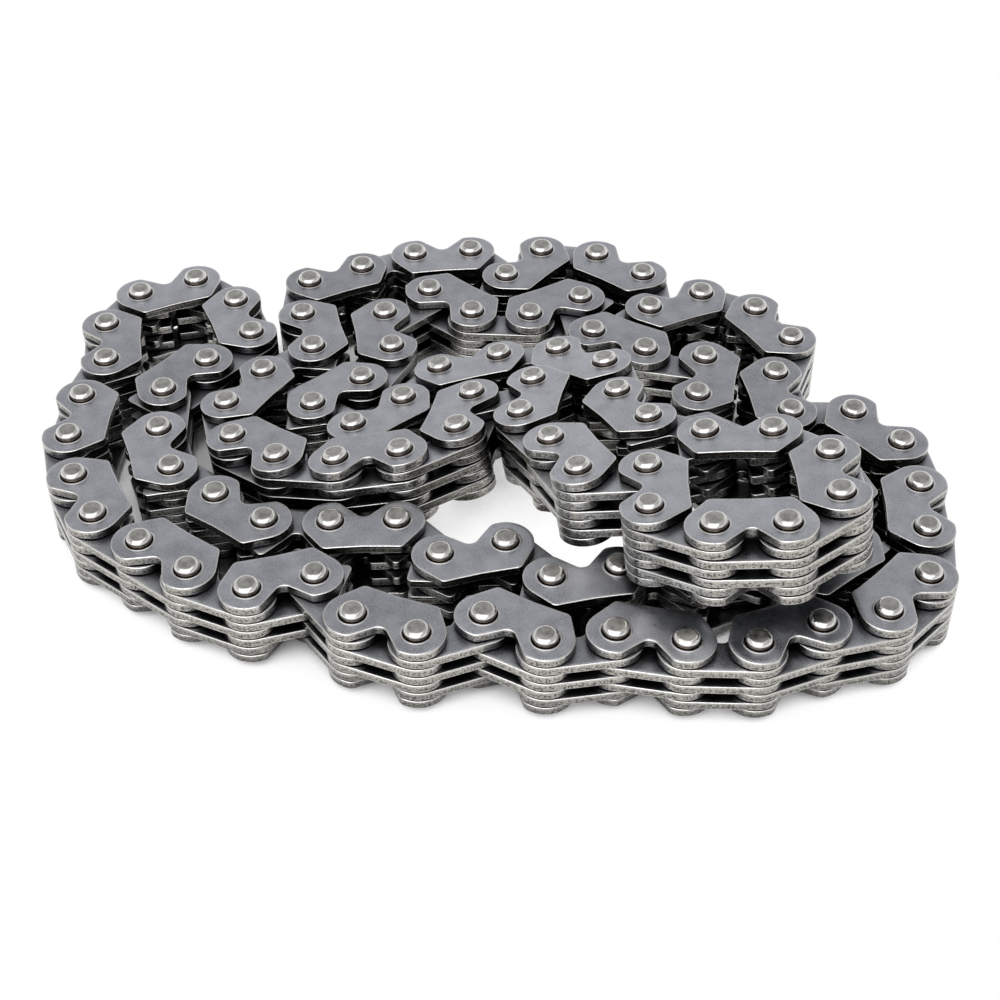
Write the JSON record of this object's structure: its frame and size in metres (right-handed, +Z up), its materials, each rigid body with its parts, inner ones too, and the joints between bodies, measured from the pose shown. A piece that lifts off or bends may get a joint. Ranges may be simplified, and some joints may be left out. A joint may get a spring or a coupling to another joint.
{
  "type": "silent timing chain",
  "caption": "Endless toothed silent timing chain lying on its side in a loose flattened coil, with an eye at the left and its other end loop raised over the strand beneath.",
  "frame": {"origin": "middle of the coil's outline box, on the plane that the ends of the pins stand on", "axes": "+Z up along the pins of the part of the coil that lies flat, +X along the long side of the coil from its eye to the raised end loop, +Y away from the picture's viewer"},
  "size_m": [0.0896, 0.0674, 0.0192],
  "materials": {
    "plate_steel": "blue-grey satin stamped steel with faint scratches and burnished edges",
    "pin_steel": "ground and polished steel with a bright bevel round each end"
  },
  "bodies": {
    "pair_00": {"link_pair_00": "plate_steel"},
    "pair_01": {"link_pair_01": "plate_steel"},
    "pair_02": {"link_pair_02": "plate_steel"},
    "pair_03": {"link_pair_03": "plate_steel"},
    "pair_04": {"link_pair_04": "plate_steel"},
    "pair_05": {"link_pair_05": "plate_steel"},
    "pair_06": {"link_pair_06": "plate_steel"},
    "pair_07": {"link_pair_07": "plate_steel"},
    "pair_08": {"link_pair_08": "plate_steel"},
    "pair_09": {"link_pair_09": "plate_steel"},
    "pair_10": {"link_pair_10": "plate_steel"},
    "pair_11": {"link_pair_11": "plate_steel"},
    "pair_12": {"link_pair_12": "plate_steel"},
    "pair_13": {"link_pair_13": "plate_steel"},
    "pair_14": {"link_pair_14": "plate_steel"},
    "pair_15": {"link_pair_15": "plate_steel"},
    "pair_16": {"link_pair_16": "plate_steel"},
    "pair_17": {"link_pair_17": "plate_steel"},
    "pair_18": {"top_guide_plate": "plate_steel", "bottom_guide_plate": "plate_steel", "upper_mid_plate": "plate_steel", "lower_mid_plate": "plate_steel", "top_link_plate": "plate_steel", "middle_link_plate": "plate_steel", "bottom_link_plate": "plate_steel", "leading_pin": "pin_steel", "trailing_pin": "pin_steel"},
    "pair_19": {"link_pair_19": "plate_steel"},
    "pair_20": {"link_pair_20": "plate_steel"},
    "pair_21": {"link_pair_21": "plate_steel"},
    "pair_22": {"link_pair_22": "plate_steel"},
    "pair_23": {"link_pair_23": "plate_steel"},
    "pair_24": {"link_pair_24": "plate_steel"},
    "pair_25": {"link_pair_25": "plate_steel"},
    "pair_26": {"link_pair_26": "plate_steel"},
    "pair_27": {"link_pair_27": "plate_steel"},
    "pair_28": {"link_pair_28": "plate_steel"},
    "pair_29": {"link_pair_29": "plate_steel"},
    "pair_30": {"link_pair_30": "plate_steel"},
    "pair_31": {"link_pair_31": "plate_steel"},
    "pair_32": {"link_pair_32": "plate_steel"},
    "pair_33": {"link_pair_33": "plate_steel"},
    "pair_34": {"link_pair_34": "plate_steel"},
    "pair_35": {"link_pair_35": "plate_steel"},
    "pair_36": {"link_pair_36": "plate_steel"},
    "pair_37": {"link_pair_37": "plate_steel"},
    "pair_38": {"link_pair_38": "plate_steel"},
    "pair_39": {"link_pair_39": "plate_steel"},
    "pair_40": {"link_pair_40": "plate_steel"},
    "pair_41": {"link_pair_41": "plate_steel"},
    "pair_42": {"link_pair_42": "plate_steel"},
    "pair_43": {"link_pair_43": "plate_steel"},
    "pair_44": {"link_pair_44": "plate_steel"},
    "pair_45": {"link_pair_45": "plate_steel"},
    "pair_46": {"link_pair_46": "plate_steel"},
    "pair_47": {"link_pair_47": "plate_steel"},
    "pair_48": {"link_pair_48": "plate_steel"},
    "pair_49": {"link_pair_49": "plate_steel"},
    "pair_50": {"link_pair_50": "plate_steel"},
    "pair_51": {"link_pair_51": "plate_steel"}
  },
  "joints": [
    {"name": "pivot_19", "type": "hinge", "parent": "pair_18", "child": "pair_19", "pos_m": [-0.01379, 0.02808, 0.00439], "axis": [0, 0, -1], "range_deg": [0, 6]},
    {"name": "pivot_20", "type": "hinge", "parent": "pair_19", "child": "pair_20", "pos_m": [-0.01978, 0.01905, 0.00446], "axis": [-0.0244, 0.0244, 0.9994], "range_deg": [0, 6]},
    {"name": "pivot_21", "type": "hinge", "parent": "pair_20", "child": "pair_21", "pos_m": [-0.02311, 0.00881, 0.00462], "axis": [-0.0592, 0.0592, 0.9965], "range_deg": [-4.72, 0]},
    {"name": "pivot_22", "type": "hinge", "parent": "pair_21", "child": "pair_22", "pos_m": [-0.02495, -0.00279, 0.00533], "axis": [-0.0935, 0.0935, 0.9912], "range_deg": [0, 1.97]},
    {"name": "pivot_23", "type": "hinge", "parent": "pair_22", "child": "pair_23", "pos_m": [-0.01412, -0.00855, 0.00703], "axis": [-0.1272, 0.1272, 0.9837], "range_deg": [-6, 0]},
    {"name": "pivot_24", "type": "hinge", "parent": "pair_23", "child": "pair_24", "pos_m": [-0.00222, -0.00548, 0.00821], "axis": [-0.1539, 0.1539, 0.976], "range_deg": [-6, 0]},
    {"name": "pivot_25", "type": "hinge", "parent": "pair_24", "child": "pair_25", "pos_m": [0.00541, 0.00175, 0.00829], "axis": [-0.1603, 0.1603, 0.974], "range_deg": [0, 6]},
    {"name": "pivot_26", "type": "hinge", "parent": "pair_25", "child": "pair_26", "pos_m": [0.00673, -0.00998, 0.01034], "axis": [-0.1401, 0.1401, 0.9802], "range_deg": [0, 6]},
    {"name": "pivot_27", "type": "hinge", "parent": "pair_26", "child": "pair_27", "pos_m": [0.01531, -0.01654, 0.01241], "axis": [-0.1139, 0.1139, 0.9869], "range_deg": [0, 6]},
    {"name": "pivot_28", "type": "hinge", "parent": "pair_27", "child": "pair_28", "pos_m": [0.02026, -0.02627, 0.01399], "axis": [-0.0873, 0.0873, 0.9924], "range_deg": [-6, 0]},
    {"name": "pivot_29", "type": "hinge", "parent": "pair_28", "child": "pair_29", "pos_m": [0.03176, -0.02319, 0.01474], "axis": [-0.1033, 0.1033, 0.9893], "range_deg": [0, 2.36]},
    {"name": "pivot_30", "type": "hinge", "parent": "pair_29", "child": "pair_30", "pos_m": [0.02733, -0.01244, 0.01303], "axis": [-0.1297, 0.1297, 0.983], "range_deg": [-6, 0]},
    {"name": "pivot_31", "type": "hinge", "parent": "pair_30", "child": "pair_31", "pos_m": [0.01625, -0.00752, 0.0108], "axis": [-0.1555, 0.1555, 0.9755], "range_deg": [0, 6]},
    {"name": "pivot_32", "type": "hinge", "parent": "pair_31", "child": "pair_32", "pos_m": [0.01276, 0.0043, 0.00836], "axis": [-0.1553, 0.1553, 0.9756], "range_deg": [-4.36, 0]},
    {"name": "pivot_33", "type": "hinge", "parent": "pair_32", "child": "pair_33", "pos_m": [0.00191, 0.00898, 0.00596], "axis": [-0.1349, 0.1349, 0.9816], "range_deg": [-6, 0]},
    {"name": "pivot_34", "type": "hinge", "parent": "pair_33", "child": "pair_34", "pos_m": [-0.00803, 0.00274, 0.00543], "axis": [-0.0983, 0.0983, 0.9903], "range_deg": [0, 6]},
    {"name": "pivot_35", "type": "hinge", "parent": "pair_34", "child": "pair_35", "pos_m": [-0.0175, 0.00313, 0.00462], "axis": [-0.0608, 0.0608, 0.9963], "range_deg": [0, 5.03]},
    {"name": "pivot_36", "type": "hinge", "parent": "pair_35", "child": "pair_36", "pos_m": [-0.00985, 0.01291, 0.00455], "axis": [-0.0229, 0.0229, 0.9995], "range_deg": [-6, 0]},
    {"name": "pivot_37", "type": "hinge", "parent": "pair_36", "child": "pair_37", "pos_m": [-0.00613, 0.02343, 0.00439], "axis": [0, 0, 1], "range_deg": [0, 6]},
    {"name": "pivot_38", "type": "hinge", "parent": "pair_37", "child": "pair_38", "pos_m": [0.00492, 0.01864, 0.00439], "axis": [0, 0, 1], "range_deg": [-6, 0]},
    {"name": "pivot_39", "type": "hinge", "parent": "pair_38", "child": "pair_39", "pos_m": [0.01162, 0.01537, 0.00439], "axis": [0, 0, 1], "range_deg": [-2.53, 0]},
    {"name": "pivot_40", "type": "hinge", "parent": "pair_39", "child": "pair_40", "pos_m": [0.02317, 0.01047, 0.00439], "axis": [0, 0, 1], "range_deg": [0, 6]},
    {"name": "pivot_41", "type": "hinge", "parent": "pair_40", "child": "pair_41", "pos_m": [0.02096, -0.00203, 0.00439], "axis": [0, 0, 1], "range_deg": [-6, 0]},
    {"name": "pivot_42", "type": "hinge", "parent": "pair_41", "child": "pair_42", "pos_m": [0.03251, -0.00567, 0.00439], "axis": [0, 0, 1], "range_deg": [0, 6]},
    {"name": "pivot_43", "type": "hinge", "parent": "pair_42", "child": "pair_43", "pos_m": [0.03426, -0.01815, 0.00439], "axis": [0, 0, 1], "range_deg": [0, 6]},
    {"name": "pivot_44", "type": "hinge", "parent": "pair_43", "child": "pair_44", "pos_m": [0.02432, -0.01789, 0.00439], "axis": [0, 0, 1], "range_deg": [-6, 0]},
    {"name": "pivot_17", "type": "hinge", "parent": "pair_18", "child": "pair_17", "pos_m": [-0.00158, 0.031, 0.00439], "axis": [0, 0, 1], "range_deg": [-6, 0]},
    {"name": "pivot_16", "type": "hinge", "parent": "pair_17", "child": "pair_16", "pos_m": [0.0065, 0.03093, 0.00439], "axis": [0, 0, 1], "range_deg": [0, 3.07]},
    {"name": "pivot_15", "type": "hinge", "parent": "pair_16", "child": "pair_15", "pos_m": [0.01769, 0.02582, 0.00439], "axis": [0, 0, 1], "range_deg": [0, 2.65]},
    {"name": "pivot_14", "type": "hinge", "parent": "pair_15", "child": "pair_14", "pos_m": [0.02387, 0.02196, 0.00439], "axis": [0, 0, 1], "range_deg": [-3.64, 0]},
    {"name": "pivot_13", "type": "hinge", "parent": "pair_14", "child": "pair_13", "pos_m": [0.03265, 0.01348, 0.00439], "axis": [0, 0, 1], "range_deg": [0, 1.02]},
    {"name": "pivot_12", "type": "hinge", "parent": "pair_13", "child": "pair_12", "pos_m": [0.03105, 0.00129, 0.00439], "axis": [0, 0, 1], "range_deg": [-6, 0]},
    {"name": "pivot_11", "type": "hinge", "parent": "pair_12", "child": "pair_11", "pos_m": [0.0414, -0.00387, 0.00439], "axis": [0, 0, 1], "range_deg": [0, 6]},
    {"name": "pivot_10", "type": "hinge", "parent": "pair_11", "child": "pair_10", "pos_m": [0.04162, -0.01652, 0.00439], "axis": [0, 0, 1], "range_deg": [0, 4.47]},
    {"name": "pivot_09", "type": "hinge", "parent": "pair_10", "child": "pair_09", "pos_m": [0.03614, -0.02729, 0.00439], "axis": [0, 0, 1], "range_deg": [0, 2.09]},
    {"name": "pivot_08", "type": "hinge", "parent": "pair_09", "child": "pair_08", "pos_m": [0.02403, -0.031, 0.00439], "axis": [0, 0, 1], "range_deg": [0, 3.23]},
    {"name": "pivot_07", "type": "hinge", "parent": "pair_08", "child": "pair_07", "pos_m": [0.01148, -0.02935, 0.00439], "axis": [0, 0, 1], "range_deg": [-6, 0]},
    {"name": "pivot_06", "type": "hinge", "parent": "pair_07", "child": "pair_06", "pos_m": [-0.00031, -0.02707, 0.00439], "axis": [0, 0, 1], "range_deg": [-6, 0]},
    {"name": "pivot_05", "type": "hinge", "parent": "pair_06", "child": "pair_05", "pos_m": [-0.01212, -0.02677, 0.00439], "axis": [0, 0, 1], "range_deg": [0, 6]},
    {"name": "pivot_04", "type": "hinge", "parent": "pair_05", "child": "pair_04", "pos_m": [-0.02199, -0.02328, 0.00439], "axis": [0, 0, 1], "range_deg": [0, 6]},
    {"name": "pivot_03", "type": "hinge", "parent": "pair_04", "child": "pair_03", "pos_m": [-0.03275, -0.01669, 0.00439], "axis": [0, 0, 1], "range_deg": [-6, 0]},
    {"name": "pivot_02", "type": "hinge", "parent": "pair_03", "child": "pair_02", "pos_m": [-0.04053, -0.00707, 0.00439], "axis": [0, 0, 1], "range_deg": [0, 6]},
    {"name": "pivot_01", "type": "hinge", "parent": "pair_02", "child": "pair_01", "pos_m": [-0.04173, 0.00543, 0.00439], "axis": [0, 0, 1], "range_deg": [0, 2.79]},
    {"name": "pivot_00", "type": "hinge", "parent": "pair_01", "child": "pair_00", "pos_m": [-0.04107, 0.01788, 0.00439], "axis": [0, 0, 1], "range_deg": [0, 6]},
    {"name": "pivot_51", "type": "hinge", "parent": "pair_00", "child": "pair_51", "pos_m": [-0.03234, 0.02602, 0.00439], "axis": [0, 0, 1], "range_deg": [-1, 0]},
    {"name": "pivot_50", "type": "hinge", "parent": "pair_51", "child": "pair_50", "pos_m": [-0.0252, 0.01601, 0.00439], "axis": [0, 0, 1], "range_deg": [-2.32, 0]},
    {"name": "pivot_49", "type": "hinge", "parent": "pair_50", "child": "pair_49", "pos_m": [-0.03344, 0.00635, 0.00439], "axis": [0, 0, 1], "range_deg": [-6, 0]},
    {"name": "pivot_48", "type": "hinge", "parent": "pair_49", "child": "pair_48", "pos_m": [-0.03114, -0.00603, 0.00439], "axis": [0, 0, 1], "range_deg": [-6, 0]},
    {"name": "pivot_47", "type": "hinge", "parent": "pair_48", "child": "pair_47", "pos_m": [-0.02121, -0.01394, 0.00439], "axis": [0, 0, 1], "range_deg": [-6, 0]},
    {"name": "pivot_46", "type": "hinge", "parent": "pair_47", "child": "pair_46", "pos_m": [-0.00852, -0.01428, 0.00439], "axis": [0, 0, 1], "range_deg": [0, 6]},
    {"name": "pivot_45", "type": "hinge", "parent": "pair_46", "child": "pair_45", "pos_m": [0.00181, -0.01754, 0.00439], "axis": [0, 0, 1], "range_deg": [0, 6]}
  ],
  "couplings": [
    {"joint": "pivot_20", "follows": "pivot_19", "ratio": 1},
    {"joint": "pivot_21", "follows": "pivot_19", "ratio": -0.7861},
    {"joint": "pivot_22", "follows": "pivot_19", "ratio": 0.3283},
    {"joint": "pivot_23", "follows": "pivot_19", "ratio": -1},
    {"joint": "pivot_24", "follows": "pivot_19", "ratio": -1},
    {"joint": "pivot_25", "follows": "pivot_19", "ratio": 1},
    {"joint": "pivot_26", "follows": "pivot_19", "ratio": 1},
    {"joint": "pivot_27", "follows": "pivot_19", "ratio": 1},
    {"joint": "pivot_28", "follows": "pivot_19", "ratio": -1},
    {"joint": "pivot_29", "follows": "pivot_19", "ratio": 0.3926},
    {"joint": "pivot_30", "follows": "pivot_19", "ratio": -0.9985},
    {"joint": "pivot_31", "follows": "pivot_19", "ratio": 1},
    {"joint": "pivot_32", "follows": "pivot_19", "ratio": -0.7259},
    {"joint": "pivot_33", "follows": "pivot_19", "ratio": -1},
    {"joint": "pivot_34", "follows": "pivot_19", "ratio": 1},
    {"joint": "pivot_35", "follows": "pivot_19", "ratio": 0.838},
    {"joint": "pivot_36", "follows": "pivot_19", "ratio": -1},
    {"joint": "pivot_37", "follows": "pivot_19", "ratio": 1},
    {"joint": "pivot_38", "follows": "pivot_19", "ratio": -1},
    {"joint": "pivot_39", "follows": "pivot_19", "ratio": -0.4209},
    {"joint": "pivot_40", "follows": "pivot_19", "ratio": 1},
    {"joint": "pivot_41", "follows": "pivot_19", "ratio": -1},
    {"joint": "pivot_42", "follows": "pivot_19", "ratio": 1},
    {"joint": "pivot_43", "follows": "pivot_19", "ratio": 1},
    {"joint": "pivot_44", "follows": "pivot_19", "ratio": -1},
    {"joint": "pivot_17", "follows": "pivot_19", "ratio": -1},
    {"joint": "pivot_16", "follows": "pivot_19", "ratio": 0.5108},
    {"joint": "pivot_15", "follows": "pivot_19", "ratio": 0.4407},
    {"joint": "pivot_14", "follows": "pivot_19", "ratio": -0.6056},
    {"joint": "pivot_13", "follows": "pivot_19", "ratio": 0.17},
    {"joint": "pivot_12", "follows": "pivot_19", "ratio": -1},
    {"joint": "pivot_11", "follows": "pivot_19", "ratio": 1},
    {"joint": "pivot_10", "follows": "pivot_19", "ratio": 0.7449},
    {"joint": "pivot_09", "follows": "pivot_19", "ratio": 0.3479},
    {"joint": "pivot_08", "follows": "pivot_19", "ratio": 0.5377},
    {"joint": "pivot_07", "follows": "pivot_19", "ratio": -1},
    {"joint": "pivot_06", "follows": "pivot_19", "ratio": -1},
    {"joint": "pivot_05", "follows": "pivot_19", "ratio": 1},
    {"joint": "pivot_04", "follows": "pivot_19", "ratio": 1},
    {"joint": "pivot_03", "follows": "pivot_19", "ratio": -1},
    {"joint": "pivot_02", "follows": "pivot_19", "ratio": 1},
    {"joint": "pivot_01", "follows": "pivot_19", "ratio": 0.4647},
    {"joint": "pivot_00", "follows": "pivot_19", "ratio": 1},
    {"joint": "pivot_51", "follows": "pivot_19", "ratio": -0.1655},
    {"joint": "pivot_50", "follows": "pivot_19", "ratio": -0.3859},
    {"joint": "pivot_49", "follows": "pivot_19", "ratio": -1},
    {"joint": "pivot_48", "follows": "pivot_19", "ratio": -1},
    {"joint": "pivot_47", "follows": "pivot_19", "ratio": -1},
    {"joint": "pivot_46", "follows": "pivot_19", "ratio": 1},
    {"joint": "pivot_45", "follows": "pivot_19", "ratio": 1}
  ]
}
